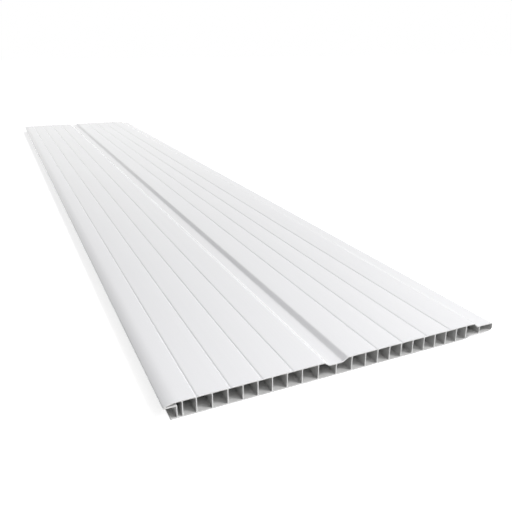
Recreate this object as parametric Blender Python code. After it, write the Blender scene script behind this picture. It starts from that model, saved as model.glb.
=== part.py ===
"""Hollow PVC ceiling panel: two boards with fine grooves, a recess between them, and a tongue and a socket.

The panel lies on its back: X runs across it towards the tongue, Y along it, and Z up from the back plane.
The section is drawn once, with every cell as a hole in it, and extruded along the whole length.
"""
import math

import bpy

# Overall sizes, in metres
LENGTH = 1.000
THICKNESS = 0.0094

# Walls
FACE_SKIN = 0.0006
BACK_SKIN = 0.0006
WEB = 0.0006

# Fine grooves that divide each board's face into strips
LINE_PITCH = 0.0172
LINES_PER_BOARD = 4
LINE_WIDTH = 0.0012
LINE_DEPTH = 0.0004
LINE_EDGE_RADIUS = 0.0005
LINE_ROOT_RADIUS = 0.0002

# Recess between the two boards, which looks like the joint between two panels
EDGE_STRIP = 0.0189
OUTER_SLOPE = 0.0026
RECESS_FLOOR = 0.0082
INNER_SLOPE = 0.0032
RECESS_DEPTH = 0.0022
STRIP_PAST_RECESS = 0.0187
RECESS_BEND_RADIUS = 0.0020

# Socket side: the face curves down to a nose and folds back to the socket's wall
SOCKET_WALL_TO_LINE = 0.0103
SOCKET_REACH = 0.0063
LIP_CURVE = 0.0074
LIP_DEPTH = 0.00265
LIP_FOLD = 0.0007
NOSE_RADIUS = 0.0006
BACK_LIP_REACH = 0.0030
BOX_CELL = 0.0022
FIRST_CELL = 0.0063

# Tongue side. The tongue seats in the socket of the next panel.
JOINT_REVEAL = 0.0064
TIP_CLEARANCE = 0.0003
STEP_DEPTH = 0.00255
STEP_BEND_RADIUS = 0.0012
LIP_CLEARANCE = 0.0001
BACK_LIP_CLEARANCE = 0.0007
TONGUE_TOP_RADIUS = 0.0015
TONGUE_BACK_RADIUS = 0.0024
TONGUE_WEB_INSET = 0.0014
LAST_WEB_TO_STEP = 0.0066
RISE_START = 0.0005
RISE_RUN = 0.0030

# Spacings between webs, counted outwards from the one under the recess, and the last before the tongue.
# The other webs share what is left evenly.
MIDDLE_WEB_INSET = 0.0040
WIDE_PITCHES_TO_SOCKET = (0.0110, 0.0095, 0.0087, 0.0084)
WIDE_PITCHES_TO_TONGUE = (0.0097, 0.0088)
CELL_PITCH = 0.0080
LAST_PITCH = 0.0076
CELL_FILLET = 0.0005

# Fineness of the arcs
ARC_STEP = math.radians(15)
LIP_CURVE_STEPS = 10

PVC_WHITE = (0.90, 0.905, 0.915, 1.0)
PVC_ROUGHNESS = 0.38

# Places across the panel, measured from the first groove before the section is centred
SOCKET_WALL_X = -SOCKET_WALL_TO_LINE
LIP_TIP_X = SOCKET_WALL_X - SOCKET_REACH
LAST_LINE_OF_FIRST_BOARD = (LINES_PER_BOARD - 1) * LINE_PITCH
RECESS_X = LAST_LINE_OF_FIRST_BOARD + EDGE_STRIP
FLOOR_START_X = RECESS_X + OUTER_SLOPE
FLOOR_END_X = FLOOR_START_X + RECESS_FLOOR
RECESS_END_X = FLOOR_END_X + INNER_SLOPE
SECOND_BOARD_X = RECESS_END_X + STRIP_PAST_RECESS
SHOULDER_X = SECOND_BOARD_X + LAST_LINE_OF_FIRST_BOARD + EDGE_STRIP
STEP_X = SHOULDER_X + OUTER_SLOPE
TONGUE_TIP_X = STEP_X + JOINT_REVEAL + SOCKET_REACH - TIP_CLEARANCE
LAST_WEB_X = SHOULDER_X - LAST_WEB_TO_STEP
RISE_X = LAST_WEB_X + WEB + RISE_START

# Heights above the back plane
LIP_UNDER_Z = THICKNESS - LIP_DEPTH
TONGUE_ROOT_Z = THICKNESS - STEP_DEPTH
TONGUE_TOP_Z = LIP_UNDER_Z - LIP_CLEARANCE
TONGUE_BACK_Z = BACK_SKIN + BACK_LIP_CLEARANCE


def arc(centre, radius, start, end, steps):
    """Points on an arc, with angles in radians from +X."""
    points = []
    for step in range(steps + 1):
        angle = start + (end - start) * step / steps
        points.append((centre[0] + radius * math.cos(angle), centre[1] + radius * math.sin(angle)))
    return points


def rounded(corners):
    """Turns a closed outline of corners (x, z, radius) into points, with an arc at each rounded corner."""
    points = []
    count = len(corners)
    for index, (x, z, radius) in enumerate(corners):
        before = corners[index - 1]
        after = corners[(index + 1) % count]
        to_before = (before[0] - x, before[1] - z)
        to_after = (after[0] - x, after[1] - z)
        length_before = math.hypot(*to_before)
        length_after = math.hypot(*to_after)
        cross = to_before[0] * to_after[1] - to_before[1] * to_after[0]
        dot = to_before[0] * to_after[0] + to_before[1] * to_after[1]
        inside = math.atan2(abs(cross), dot)
        turn = math.pi - inside
        if radius <= 0 or turn < math.radians(2):
            points.append((x, z))
            continue
        setback = radius * math.tan(turn / 2)
        setback = min(setback, 0.48 * length_before, 0.48 * length_after)
        radius = setback / math.tan(turn / 2)
        unit_before = (to_before[0] / length_before, to_before[1] / length_before)
        unit_after = (to_after[0] / length_after, to_after[1] / length_after)
        start = (x + unit_before[0] * setback, z + unit_before[1] * setback)
        bisector = (unit_before[0] + unit_after[0], unit_before[1] + unit_after[1])
        reach = radius / math.sin(inside / 2) / math.hypot(*bisector)
        centre = (x + bisector[0] * reach, z + bisector[1] * reach)
        angle = math.atan2(start[1] - centre[1], start[0] - centre[0])
        sweep = -turn if cross > 0 else turn
        points += arc(centre, radius, angle, angle + sweep, max(2, math.ceil(turn / ARC_STEP)))
    return points


def offset(line, distance):
    """Moves an open line of corners (x, z, radius) to its right by a distance, with concentric bends."""
    moved = []
    for index, (x, z, radius) in enumerate(line):
        ahead = line[min(index + 1, len(line) - 1)]
        behind = line[max(index - 1, 0)]
        out_angle = math.atan2(ahead[1] - z, ahead[0] - x) if index < len(line) - 1 else None
        in_angle = math.atan2(z - behind[1], x - behind[0]) if index > 0 else out_angle
        if out_angle is None:
            out_angle = in_angle
        middle = (in_angle + out_angle) / 2
        half_turn = (out_angle - in_angle) / 2
        reach = distance / math.cos(half_turn)
        bend = radius - distance if half_turn < 0 else radius + distance
        moved.append((x + reach * math.sin(middle), z - reach * math.cos(middle), max(bend, 0.0)))
    return moved


def height_at(line, x):
    """Height of an open line of corners at x."""
    for (x0, z0, _), (x1, z1, _) in zip(line, line[1:]):
        if x0 <= x <= x1:
            return z0 + (z1 - z0) * (x - x0) / (x1 - x0)
    return line[0][1] if x < line[0][0] else line[-1][1]


def between(line, start, end):
    """The part of an open line between two x values, as corners."""
    inner = [corner for corner in line if start < corner[0] < end]
    return [(start, height_at(line, start), CELL_FILLET), *inner, (end, height_at(line, end), CELL_FILLET)]


def line_places():
    """Where the fine grooves lie."""
    places = []
    for board in (0.0, SECOND_BOARD_X):
        places += [board + index * LINE_PITCH for index in range(LINES_PER_BOARD)]
    return places


def face_profile():
    """The visible side from the lip's curve to the tongue's tip, without the fine grooves."""
    return [
        (LIP_TIP_X + LIP_CURVE, THICKNESS, 0.0),
        (RECESS_X, THICKNESS, RECESS_BEND_RADIUS),
        (FLOOR_START_X, THICKNESS - RECESS_DEPTH, RECESS_BEND_RADIUS),
        (FLOOR_END_X, THICKNESS - RECESS_DEPTH, RECESS_BEND_RADIUS),
        (RECESS_END_X, THICKNESS, RECESS_BEND_RADIUS),
        (SHOULDER_X, THICKNESS, STEP_BEND_RADIUS),
        (STEP_X, TONGUE_ROOT_Z, STEP_BEND_RADIUS),
        (TONGUE_TIP_X, TONGUE_TOP_Z, TONGUE_TOP_RADIUS),
    ]


def back_profile():
    """The back from the tongue's tip to the socket's wall."""
    return [
        (TONGUE_TIP_X, TONGUE_BACK_Z, TONGUE_BACK_RADIUS),
        (RISE_X + RISE_RUN, TONGUE_BACK_Z, STEP_BEND_RADIUS),
        (RISE_X, 0.0, STEP_BEND_RADIUS),
        (SOCKET_WALL_X, 0.0, 0.0),
    ]


def lip_curve_centre():
    """Centre and radius of the arc that runs from the flat face to the nose, touching both."""
    nose = (LIP_TIP_X + NOSE_RADIUS, LIP_UNDER_Z + NOSE_RADIUS)
    start_x = LIP_TIP_X + LIP_CURVE
    across = start_x - nose[0]
    drop = THICKNESS - nose[1]
    radius = (across ** 2 + drop ** 2 - NOSE_RADIUS ** 2) / (2 * (drop - NOSE_RADIUS))
    return nose, (start_x, THICKNESS - radius), radius


def lip_points():
    """Points of the nose and of the curved face above it, from the lip's underside to the flat face."""
    nose, centre, radius = lip_curve_centre()
    touch = math.atan2(nose[1] - centre[1], nose[0] - centre[0])
    points = arc(nose, NOSE_RADIUS, 1.5 * math.pi, touch, 6)
    points += arc(centre, radius, touch, math.pi / 2, LIP_CURVE_STEPS)[1:-1]
    return points


def outer_outline():
    """The panel's outer outline as points."""
    corners = face_profile()[:1]
    bends = face_profile()[1:]
    for place in line_places():
        while bends and bends[0][0] < place:
            corners.append(bends.pop(0))
        corners.append((place - LINE_WIDTH / 2, THICKNESS, LINE_EDGE_RADIUS))
        corners.append((place, THICKNESS - LINE_DEPTH, LINE_ROOT_RADIUS))
        corners.append((place + LINE_WIDTH / 2, THICKNESS, LINE_EDGE_RADIUS))
    corners += bends
    corners += back_profile()[:-1]
    lip_end = SOCKET_WALL_X - BACK_LIP_REACH
    corners.append((lip_end, 0.0, BACK_SKIN / 2))
    corners.append((lip_end, BACK_SKIN, BACK_SKIN / 2))
    corners.append((SOCKET_WALL_X, BACK_SKIN, CELL_FILLET))
    corners.append((SOCKET_WALL_X, LIP_UNDER_Z, CELL_FILLET))
    corners += [(x, z, 0.0) for x, z in lip_points()]
    return rounded(corners)


def web_places():
    """Left sides of the full-height webs, from the one beside the box cell to the last before the tongue."""
    middle = FLOOR_START_X + MIDDLE_WEB_INSET
    box_web = SOCKET_WALL_X + WEB + BOX_CELL
    first = box_web + WEB + FIRST_CELL
    to_socket = [middle]
    for pitch in WIDE_PITCHES_TO_SOCKET:
        to_socket.append(to_socket[-1] - pitch)
    to_tongue = [middle]
    for pitch in WIDE_PITCHES_TO_TONGUE:
        to_tongue.append(to_tongue[-1] + pitch)
    places = [box_web, first]
    places += evenly(first, to_socket[-1])
    places += reversed(to_socket)
    places += to_tongue[1:]
    places += evenly(to_tongue[-1], LAST_WEB_X - LAST_PITCH)
    places += [LAST_WEB_X - LAST_PITCH, LAST_WEB_X]
    return places


def evenly(start, end):
    """Web places between two webs, as near to the cell pitch as whole cells allow."""
    cells = max(1, round((end - start) / CELL_PITCH))
    return [start + (end - start) * index / cells for index in range(1, cells)]


def lip_cell():
    """The cell inside the lip, which runs on down beside the socket's wall."""
    _, centre, radius = lip_curve_centre()
    inner = radius - FACE_SKIN
    fold_top = LIP_UNDER_Z + LIP_FOLD
    tip = math.pi - math.asin((fold_top - centre[1]) / inner)
    right = SOCKET_WALL_X + WEB + BOX_CELL
    left = SOCKET_WALL_X + WEB
    curve_end = min(centre[0], right)
    top = math.acos((curve_end - centre[0]) / inner)
    corners = [(x, z, 0.0) for x, z in arc(centre, inner, tip, top, LIP_CURVE_STEPS)]
    if right > centre[0]:
        corners.append((right, THICKNESS - FACE_SKIN, CELL_FILLET))
    corners.append((right, BACK_SKIN, CELL_FILLET))
    corners.append((left, BACK_SKIN, CELL_FILLET))
    corners.append((left, fold_top, CELL_FILLET))
    return rounded(corners)


def cells():
    """Outline of every hollow cell."""
    under_face = offset(face_profile(), FACE_SKIN)
    over_back = offset(back_profile(), BACK_SKIN)[::-1]
    webs = web_places()
    tongue_web = STEP_X + TONGUE_WEB_INSET
    found = [lip_cell()]
    for left, right in zip(webs, webs[1:] + [tongue_web]):
        top = between(under_face, left + WEB, right)
        bottom = between(over_back, left + WEB, right)
        found.append(rounded(top + bottom[::-1]))
    end = TONGUE_TIP_X - FACE_SKIN
    top = between(under_face, tongue_web + WEB, end)
    bottom = between(over_back, tongue_web + WEB, end)
    top[-1] = (end, top[-1][1], TONGUE_TOP_RADIUS - FACE_SKIN)
    bottom[-1] = (end, bottom[-1][1], TONGUE_BACK_RADIUS - FACE_SKIN)
    found.append(rounded(top + bottom[::-1]))
    return found


def pvc_material():
    """White rigid PVC with a satin face."""
    material = bpy.data.materials.new("white_pvc")
    material.use_nodes = True
    shader = material.node_tree.nodes["Principled BSDF"]
    shader.inputs["Base Color"].default_value = PVC_WHITE
    shader.inputs["Roughness"].default_value = PVC_ROUGHNESS
    shader.inputs["Metallic"].default_value = 0.0
    return material


def add_spline(curve, points, middle):
    """Adds one closed straight-sided outline, centred across the panel."""
    spline = curve.splines.new("POLY")
    spline.points.add(len(points) - 1)
    for point, (x, z) in zip(spline.points, points):
        point.co = (x - middle, z, 0.0, 1.0)
    spline.use_cyclic_u = True


def build_panel(collection):
    """The whole panel as one flat outline with holes, extruded along Y."""
    curve = bpy.data.curves.new("ceiling_panel", "CURVE")
    curve.dimensions = "2D"
    curve.fill_mode = "BOTH"
    curve.extrude = LENGTH / 2
    middle = (LIP_TIP_X + TONGUE_TIP_X) / 2
    add_spline(curve, outer_outline(), middle)
    for outline in cells():
        add_spline(curve, outline, middle)
    curve.materials.append(pvc_material())
    panel = bpy.data.objects.new("ceiling_panel", curve)
    panel.rotation_euler = (math.pi / 2, 0.0, 0.0)
    collection.objects.link(panel)
    return panel


def main():
    for old in list(bpy.data.objects):
        bpy.data.objects.remove(old, do_unlink=True)
    collection = bpy.data.collections.new("pvc_ceiling_panel")
    bpy.context.scene.collection.children.link(collection)
    build_panel(collection)


main()
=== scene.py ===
"""Looks of a hollow PVC ceiling panel that lies face up on a pale studio floor."""
import math
import random
from collections import namedtuple

import bmesh
import bpy
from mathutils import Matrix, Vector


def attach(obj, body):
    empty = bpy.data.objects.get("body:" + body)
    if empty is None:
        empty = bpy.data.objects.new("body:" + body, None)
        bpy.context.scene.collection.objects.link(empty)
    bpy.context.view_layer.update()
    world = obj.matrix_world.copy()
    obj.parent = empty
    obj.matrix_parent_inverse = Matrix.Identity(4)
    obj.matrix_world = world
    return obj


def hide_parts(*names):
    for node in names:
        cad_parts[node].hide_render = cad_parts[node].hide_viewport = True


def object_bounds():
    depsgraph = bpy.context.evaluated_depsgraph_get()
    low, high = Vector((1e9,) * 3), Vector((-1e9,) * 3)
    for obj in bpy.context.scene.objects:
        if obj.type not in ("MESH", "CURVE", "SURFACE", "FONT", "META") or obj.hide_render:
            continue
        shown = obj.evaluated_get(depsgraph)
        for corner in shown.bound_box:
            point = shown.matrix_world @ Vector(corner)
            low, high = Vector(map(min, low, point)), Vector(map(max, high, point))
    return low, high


NODE = "ceiling_panel"
BODY = "root"

# Camera, fitted to the panel's fine grooves and its two cut ends in the photograph
CAMERA_PLACE = (-0.15225, -0.71055, 0.1645)
CAMERA_DOWN = math.radians(21.07)
CAMERA_RIGHT = math.radians(24.70)
SENSOR_WIDTH = 36.0
LENS = 38.86
CLIP_START = 0.01
CLIP_END = 50.0

# Soft lamps: place, target, size, watts
LAMPS = {
    "key_lamp": ((1.5, -1.7, 2.4), (0.0, -0.4, 0.0), (0.9, 0.9), 71.0),
    "back_lamp": ((1.4, 0.6, 0.5), (0.0, 0.4, 0.0), (1.2, 0.8), 14.5),
    "end_lamp": ((0.0, -0.85, 0.35), (0.0, -0.5, 0.0), (0.3, 0.3), 0.95),
    "far_end_lamp": ((0.25, 1.35, 0.28), (0.0, 0.5, 0.0), (0.4, 0.4), 2.6),
}

# Direction that the faint sky light comes from, times its strength there
SKY = (0.03, 0.05, 0.0)

# Colour of the sky, of the studio and of the floor's glow
WHITE = (1.0, 1.0, 1.0, 1.0)

# Floor: its own grey for bounced light, how white it looks beside the panel and far from it, and
# the distances from the panel between which the one fades to the other
FLOOR_SIZE = 12.0
FLOOR_DROP = 0.0003
FLOOR_GREY = 0.75
FLOOR_ROUGHNESS = 0.9
FLOOR_GLOW_NEAR = 0.82
FLOOR_GLOW_FAR = 1.0
FLOOR_FADE_START = 0.02
FLOOR_FADE_END = 0.45

# Reading of the section in the frame's mesh: places that count as one, the widest gap between
# points once it is refined, the shortest strip and the widest fine groove of the face, and the
# height above which faces that look up belong to the visible face
SAME_POINT = 1e-6
SAME_DECIMALS = 6
POINT_SPACING = 0.0010
SHORTEST_STRIP = 0.0050
WIDEST_GROOVE = 0.0020
FACE_SIDE_HEIGHT = 0.0015

# Relief of the face: each strip is crowned, which fades out below the face, and the roots of the
# fine grooves lie a little towards the socket. Points deeper than the groove's reach aren't in it.
CROWN = 0.00010
CROWN_REACH = 0.0025
GROOVE_LEAN = 0.00025
GROOVE_DEPTH = 0.00040
GROOVE_REACH = 0.00050

# Saw-cut ends: a small broken edge, slightly uneven
BREAK_WIDTH = 0.00005
BREAK_DEPTH = 0.00009
BREAK_UNEVEN = 0.35
BREAK_SEED = 7

# Rings of points along the panel: distances from each end, and the spacing between those
STATION_STEPS = (0.0006, 0.003, 0.010, 0.030, 0.080)
STATION_SPACING = 0.085

# Edges that bend more than this are shaded sharp
SHARP_ANGLE = math.radians(32)

# Kinds of surface, in the order of the material slots
FACE, BACK, INNER, CUT = range(4)

# Grain of the PVC: repeats per metre along x, y and z, tilt about y, noise detail, bump height
Grain = namedtuple("Grain", "repeats tilt detail height")
FINE_DIE_LINES = Grain((900.0, 1.5, 900.0), 0.0, 2.0, 0.0000025)
SOFT_WAVES = Grain((70.0, 9.0, 70.0), 0.0, 1.0, 0.000030)
COARSE_DIE_LINES = Grain((700.0, 2.5, 700.0), 0.0, 3.0, 0.000012)
FLOW_MARKS = Grain((120.0, 30.0, 120.0), 0.0, 2.0, 0.000020)
SAW_STROKES = Grain((600.0, 600.0, 9000.0), math.radians(38), 3.0, 0.000020)
SAW_CHATTER = Grain((1500.0, 1500.0, 1500.0), 0.0, 4.0, 0.000015)

# Noise at which tone and roughness reach their ends
NOISE_LOW = 0.35
NOISE_HIGH = 0.65

# Looks of the surfaces: darker and lighter tone, lowest and highest roughness, weight and
# roughness of the clear coat, the grain of the tone, and the grain of the roughness
Look = namedtuple("Look", "darker lighter roughness coat tone_grain gloss_grain")
CLEAR_COAT = (1.0, 0.08)
NO_COAT = (0.0, 0.03)
# The cells and the back share one greyer tone. Part of it is the uncoated body's own grey, and part is
# painted shade that darkens the insides of the cells.
GREYER_BODY_AND_SHADE_LOOK = Look((0.535, 0.535, 0.530), (0.565, 0.565, 0.560), (0.38, 0.52), NO_COAT,
                 COARSE_DIE_LINES, FLOW_MARKS)
LOOKS = {
    "pvc_face": Look((0.893, 0.894, 0.914), (0.903, 0.904, 0.924), (0.19, 0.22), CLEAR_COAT,
                     FINE_DIE_LINES, SOFT_WAVES),
    "pvc_back": GREYER_BODY_AND_SHADE_LOOK,
    "pvc_cells_shaded": GREYER_BODY_AND_SHADE_LOOK,
    "pvc_cut": Look((0.75, 0.75, 0.745), (0.81, 0.81, 0.805), (0.50, 0.70), NO_COAT,
                    SAW_STROKES, SAW_CHATTER),
}


def make_camera():
    data = bpy.data.cameras.new("camera")
    data.sensor_width = SENSOR_WIDTH
    data.lens = LENS
    data.clip_start = CLIP_START
    data.clip_end = CLIP_END
    camera = bpy.data.objects.new("camera", data)
    camera.location = CAMERA_PLACE
    camera.rotation_euler = (math.pi / 2 - CAMERA_DOWN, 0.0, -CAMERA_RIGHT)
    bpy.context.scene.collection.objects.link(camera)
    bpy.context.scene.camera = camera


def add_lamp(name, place, target, size, watts):
    """A soft lamp that lights the panel but doesn't show in its clear coat."""
    data = bpy.data.lights.new(name, "AREA")
    data.shape = "RECTANGLE"
    data.size, data.size_y = size
    data.energy = watts
    lamp = bpy.data.objects.new(name, data)
    lamp.location = place
    direction = Vector(target) - Vector(place)
    lamp.rotation_euler = direction.to_track_quat("-Z", "Y").to_euler()
    lamp.visible_glossy = False
    bpy.context.scene.collection.objects.link(lamp)


def link(tree, start, output, end, socket):
    tree.links.new(start.outputs[output], end.inputs[socket])


def math_node(tree, operation):
    node = tree.nodes.new("ShaderNodeMath")
    node.operation = operation
    return node


def vector_node(tree, operation):
    node = tree.nodes.new("ShaderNodeVectorMath")
    node.operation = operation
    return node


def background(tree):
    node = tree.nodes.new("ShaderNodeBackground")
    node.inputs["Color"].default_value = WHITE
    return node


def seen_ray(tree):
    """1 for camera, glossy and transmission rays, and 0 for rays that only light things."""
    path = tree.nodes.new("ShaderNodeLightPath")
    either = math_node(tree, "MAXIMUM")
    link(tree, path, "Is Camera Ray", either, 0)
    link(tree, path, "Is Glossy Ray", either, 1)
    any_of_three = math_node(tree, "MAXIMUM")
    link(tree, either, 0, any_of_three, 0)
    link(tree, path, "Is Transmission Ray", any_of_three, 1)
    return any_of_three


def make_world():
    """A white studio for rays that see it, and a faint sky from one side for those that light."""
    world = bpy.data.worlds.new("studio")
    world.use_nodes = True
    tree = world.node_tree
    tree.nodes.clear()
    out = tree.nodes.new("ShaderNodeOutputWorld")
    place = tree.nodes.new("ShaderNodeTexCoord")
    along = vector_node(tree, "DOT_PRODUCT")
    along.inputs[1].default_value = SKY
    link(tree, place, "Generated", along, 0)
    strength = math_node(tree, "MAXIMUM")
    strength.inputs[1].default_value = 0.0
    link(tree, along, "Value", strength, 0)
    light = background(tree)
    link(tree, strength, 0, light, "Strength")
    mix = tree.nodes.new("ShaderNodeMixShader")
    link(tree, seen_ray(tree), 0, mix, 0)
    link(tree, light, 0, mix, 1)
    link(tree, background(tree), 0, mix, 2)
    link(tree, mix, 0, out, "Surface")
    bpy.context.scene.world = world


def distance_from_panel(tree, corner):
    """Distance on the floor from the panel's box, which is centred over the origin."""
    place = tree.nodes.new("ShaderNodeNewGeometry")
    mirrored = vector_node(tree, "ABSOLUTE")
    link(tree, place, "Position", mirrored, 0)
    past = vector_node(tree, "SUBTRACT")
    past.inputs[1].default_value = corner
    link(tree, mirrored, 0, past, 0)
    outside = vector_node(tree, "MAXIMUM")
    outside.inputs[1].default_value = (0.0, 0.0, 0.0)
    link(tree, past, 0, outside, 0)
    length = vector_node(tree, "LENGTH")
    link(tree, outside, 0, length, 0)
    return length


def floor_material(corner):
    """Pale floor that looks white past the panel and keeps its shadow beside it."""
    material = bpy.data.materials.new("floor")
    material.use_nodes = True
    tree = material.node_tree
    shader = tree.nodes["Principled BSDF"]
    shader.inputs["Base Color"].default_value = (FLOOR_GREY, FLOOR_GREY, FLOOR_GREY, 1.0)
    shader.inputs["Roughness"].default_value = FLOOR_ROUGHNESS
    shader.inputs["Specular IOR Level"].default_value = 0.0
    fade = tree.nodes.new("ShaderNodeMapRange")
    fade.interpolation_type = "SMOOTHSTEP"
    fade.inputs["From Min"].default_value = FLOOR_FADE_START
    fade.inputs["From Max"].default_value = FLOOR_FADE_END
    fade.inputs["To Min"].default_value = FLOOR_GLOW_NEAR
    fade.inputs["To Max"].default_value = FLOOR_GLOW_FAR
    link(tree, distance_from_panel(tree, corner), "Value", fade, "Value")
    glow = math_node(tree, "MULTIPLY")
    link(tree, fade, "Result", glow, 0)
    link(tree, seen_ray(tree), 0, glow, 1)
    shader.inputs["Emission Color"].default_value = WHITE
    link(tree, glow, 0, shader, "Emission Strength")
    return material


def make_floor(corner):
    bpy.ops.mesh.primitive_plane_add(size=FLOOR_SIZE, location=(0.0, 0.0, -FLOOR_DROP))
    floor = bpy.context.object
    floor.name = "floor"
    floor.data.materials.append(floor_material(corner))


def sides(points):
    """Each point of a closed outline with the next one."""
    return zip(points, points[1:] + points[:1])


def signed_area(points):
    return sum(x0 * z1 - x1 * z0 for (x0, z0), (x1, z1) in sides(points)) / 2


def walk_around(beside, start):
    """The vertices of one closed loop, from start, given the two that lie beside each."""
    loop = [start]
    previous, here = None, start
    while True:
        onward = next(v for v in beside[here] if v is not previous)
        if onward is start:
            return loop
        previous, here = here, onward
        loop.append(here)


def cut_outlines(mesh, end_y):
    """Closed outlines of a cut end in the frame's mesh as (x, z) points, the panel's own first.

    The panel's outline runs anticlockwise and the cells run clockwise, so the PVC is on their left.
    """
    shape = bmesh.new()
    shape.from_mesh(mesh)
    bmesh.ops.remove_doubles(shape, verts=shape.verts, dist=SAME_POINT)
    cap = {face for face in shape.faces if all(abs(v.co.y - end_y) < SAME_POINT for v in face.verts)}
    beside = {}
    for edge in shape.edges:
        if sum(face in cap for face in edge.link_faces) == 1:
            for here, there in (edge.verts, reversed(edge.verts)):
                beside.setdefault(here, []).append(there)
    outlines = []
    while beside:
        start = min(beside, key=lambda v: (round(v.co.x, SAME_DECIMALS), round(v.co.z, SAME_DECIMALS)))
        loop = walk_around(beside, start)
        for vertex in loop:
            del beside[vertex]
        outlines.append([(v.co.x, v.co.z) for v in loop])
    shape.free()
    outlines.sort(key=lambda points: -abs(signed_area(points)))
    wanted = [1.0] + [-1.0] * (len(outlines) - 1)
    return [p if signed_area(p) * sign > 0 else p[::-1] for p, sign in zip(outlines, wanted)]


def with_closer_points(points):
    """The same outline with its long straight stretches divided evenly."""
    closer = []
    for (x0, z0), (x1, z1) in sides(points):
        parts = max(1, math.ceil(math.hypot(x1 - x0, z1 - z0) / POINT_SPACING))
        closer += [(x0 + (x1 - x0) * i / parts, z0 + (z1 - z0) * i / parts) for i in range(parts)]
    return closer


def flat_strips(outline, top):
    """Where the flat strips of the face start and end, from left to right."""
    strips = []
    for (x0, z0), (x1, z1) in sides(outline):
        if min(z0, z1) > top - SAME_POINT and abs(x1 - x0) > SHORTEST_STRIP:
            strips.append((min(x0, x1), max(x0, x1)))
    return sorted(strips)


def crown_drop(x, strips):
    """How far the face lies under the middle of its strips at x, as a share of the crown."""
    first_start, first_end = strips[0]
    if x < first_start:
        return 0.0
    if x < first_end:
        return ((x - first_start) / (first_end - first_start)) ** 2
    for start, end in strips[1:]:
        if start <= x <= end:
            return (2 * (x - start) / (end - start) - 1) ** 2
    return 1.0


def groove_lean(x, depth, strips):
    """How far a point of a fine groove moves over, which steepens the groove's left wall."""
    if depth >= GROOVE_REACH:
        return 0.0
    for (_, groove_start), (groove_end, _) in zip(strips, strips[1:]):
        if groove_start < x < groove_end and groove_end - groove_start < WIDEST_GROOVE:
            return GROOVE_LEAN * min(depth / GROOVE_DEPTH, 1.0)
    return 0.0


def with_relief(points, strips, top):
    """Sinks the face along its grooves, which pillows each strip slightly, and leans the grooves."""
    moved = []
    for x, z in points:
        share = min(max((z - top + CROWN_REACH) / CROWN_REACH, 0.0), 1.0)
        sunk_z = z - CROWN * share * crown_drop(x, strips)
        moved.append((x - groove_lean(x, top - z, strips), sunk_z))
    return moved


def into_the_wall(points, distances):
    """Moves each point of an outline into the PVC on its left."""
    moved = []
    afters = points[1:] + points[:1]
    for before, here, after, distance in zip(points[-1:] + points[:-1], points, afters, distances):
        normals = []
        for (x0, z0), (x1, z1) in ((before, here), (here, after)):
            length = math.hypot(x1 - x0, z1 - z0)
            normals.append((-(z1 - z0) / length, (x1 - x0) / length))
        nx, nz = (normals[0][0] + normals[1][0], normals[0][1] + normals[1][1])
        scale = distance * 2 / max(nx * nx + nz * nz, 1.0)
        moved.append((here[0] + nx * scale, here[1] + nz * scale))
    return moved


def stations(low_y, high_y):
    """Places along the panel where the section repeats, close together near the ends."""
    near = [low_y + step for step in STATION_STEPS]
    far = [high_y - step for step in reversed(STATION_STEPS)]
    parts = round((far[0] - near[-1]) / STATION_SPACING)
    middle = [near[-1] + (far[0] - near[-1]) * i / parts for i in range(1, parts)]
    return near + middle + far


def add_ring(shape, points, places_y):
    return [shape.verts.new((x, y, z)) for (x, z), y in zip(points, places_y)]


def add_end(shape, points, end_y, inward, chance):
    """Rings on both sides of the broken edge of a cut end: its rim first, then the wall's end."""
    uneven = [1 + BREAK_UNEVEN * chance.uniform(-1, 1) for _ in points]
    rim_points = into_the_wall(points, [BREAK_WIDTH * u for u in uneven])
    rim = add_ring(shape, rim_points, [end_y] * len(points))
    wall_end = add_ring(shape, points, [end_y + inward * BREAK_DEPTH * u for u in uneven])
    return rim, wall_end


def zone_of(start, end, is_outline):
    """Material of a lengthwise face: the visible face, the back and edges, or the cells."""
    if not is_outline:
        return INNER
    (x0, z0), (x1, z1) = start, end
    return FACE if x1 < x0 and (z0 + z1) / 2 > FACE_SIDE_HEIGHT else BACK


def add_walls(shape, points, rings, is_outline):
    """Lengthwise faces from ring to ring, the first and last of which are the broken edges."""
    zones = [zone_of(start, end, is_outline) for start, end in sides(points)]
    last = len(rings) - 2
    for r, (ring, next_ring) in enumerate(zip(rings, rings[1:])):
        for (a, b), (c, d), zone in zip(sides(ring), sides(next_ring), zones):
            face = shape.faces.new((a, b, d, c))
            face.material_index = CUT if r in (0, last) else zone


def add_cut_face(shape, rims):
    """The sawn face of one end, between the panel's rim and those of its cells."""
    edges = [shape.edges.get(side) for rim in rims for side in sides(rim)]
    filled = bmesh.ops.triangle_fill(shape, edges=edges, use_beauty=True)
    for item in filled["geom"]:
        if isinstance(item, bmesh.types.BMFace):
            item.material_index = CUT


def build_panel(node, low, high):
    """The whole panel from the frame's section, with crowned strips and broken saw-cut edges."""
    chance = random.Random(BREAK_SEED)
    outlines = cut_outlines(node.data, low.y)
    strips = flat_strips(outlines[0], high.z)
    shape = bmesh.new()
    near_rims, far_rims = [], []
    for number, outline in enumerate(outlines):
        points = with_relief(with_closer_points(outline), strips, high.z)
        near_rim, near_end = add_end(shape, points, low.y, 1.0, chance)
        far_rim, far_end = add_end(shape, points, high.y, -1.0, chance)
        middle = [add_ring(shape, points, [y] * len(points)) for y in stations(low.y, high.y)]
        add_walls(shape, points, [near_rim, near_end, *middle, far_end, far_rim], number == 0)
        near_rims.append(near_rim)
        far_rims.append(far_rim)
    add_cut_face(shape, near_rims)
    add_cut_face(shape, far_rims)
    bmesh.ops.recalc_face_normals(shape, faces=shape.faces)
    mesh = bpy.data.meshes.new("panel_look")
    shape.to_mesh(mesh)
    shape.free()
    mesh.shade_smooth()
    mesh.set_sharp_from_angle(angle=SHARP_ANGLE)
    panel = bpy.data.objects.new("panel_look", mesh)
    bpy.context.scene.collection.objects.link(panel)
    return panel


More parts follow.
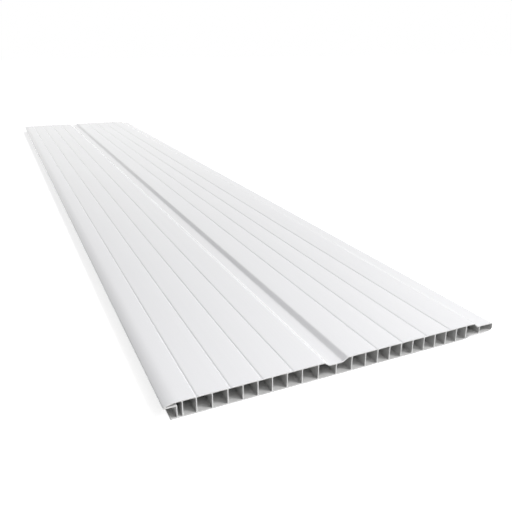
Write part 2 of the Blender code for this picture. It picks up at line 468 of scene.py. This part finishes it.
def grain_noise(tree, grain):
    """Noise that is drawn out along the grain, in the panel's own coordinates."""
    place = tree.nodes.new("ShaderNodeTexCoord")
    turn = tree.nodes.new("ShaderNodeMapping")
    turn.inputs["Rotation"].default_value = (0.0, grain.tilt, 0.0)
    link(tree, place, "Object", turn, "Vector")
    stretch = tree.nodes.new("ShaderNodeMapping")
    stretch.inputs["Scale"].default_value = grain.repeats
    link(tree, turn, "Vector", stretch, "Vector")
    noise = tree.nodes.new("ShaderNodeTexNoise")
    noise.inputs["Scale"].default_value = 1.0
    noise.inputs["Detail"].default_value = grain.detail
    link(tree, stretch, "Vector", noise, "Vector")
    return noise


def bump_node(tree, noise, height):
    bump = tree.nodes.new("ShaderNodeBump")
    bump.inputs["Strength"].default_value = 1.0
    bump.inputs["Distance"].default_value = height
    link(tree, noise, "Fac", bump, "Height")
    return bump


def pvc(name, surface):
    """PVC whose tone, roughness and bump follow two grains."""
    material = bpy.data.materials.new(name)
    material.use_nodes = True
    tree = material.node_tree
    shader = tree.nodes["Principled BSDF"]
    tone_noise = grain_noise(tree, surface.tone_grain)
    gloss_noise = grain_noise(tree, surface.gloss_grain)
    tone = tree.nodes.new("ShaderNodeValToRGB")
    stops = zip(tone.color_ramp.elements, (NOISE_LOW, NOISE_HIGH), (surface.darker, surface.lighter))
    for stop, place, colour in stops:
        stop.position = place
        stop.color = (*colour, 1.0)
    link(tree, tone_noise, "Fac", tone, "Fac")
    link(tree, tone, "Color", shader, "Base Color")
    gloss = tree.nodes.new("ShaderNodeMapRange")
    gloss.inputs["From Min"].default_value = NOISE_LOW
    gloss.inputs["From Max"].default_value = NOISE_HIGH
    gloss.inputs["To Min"].default_value, gloss.inputs["To Max"].default_value = surface.roughness
    link(tree, gloss_noise, "Fac", gloss, "Value")
    link(tree, gloss, "Result", shader, "Roughness")
    coat_weight, coat_roughness = surface.coat
    shader.inputs["Coat Weight"].default_value = coat_weight
    shader.inputs["Coat Roughness"].default_value = coat_roughness
    waves = bump_node(tree, gloss_noise, surface.gloss_grain.height)
    lines = bump_node(tree, tone_noise, surface.tone_grain.height)
    link(tree, waves, "Normal", lines, "Normal")
    link(tree, lines, "Normal", shader, "Normal")
    return material


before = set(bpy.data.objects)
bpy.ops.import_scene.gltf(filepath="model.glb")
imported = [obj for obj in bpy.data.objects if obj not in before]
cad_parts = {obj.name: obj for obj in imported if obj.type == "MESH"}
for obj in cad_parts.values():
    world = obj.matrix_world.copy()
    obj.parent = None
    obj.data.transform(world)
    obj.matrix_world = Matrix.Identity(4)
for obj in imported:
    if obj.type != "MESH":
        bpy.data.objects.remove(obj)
cad_low, cad_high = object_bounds()
bpy.context.scene.view_settings.view_transform = "Standard"
make_camera()
make_world()
make_floor(cad_high)
for lamp_name, lamp in LAMPS.items():
    add_lamp(lamp_name, *lamp)
look = build_panel(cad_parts[NODE], cad_low, cad_high)
for surface_name, surface in LOOKS.items():
    look.data.materials.append(pvc(surface_name, surface))
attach(look, BODY)
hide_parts(NODE)
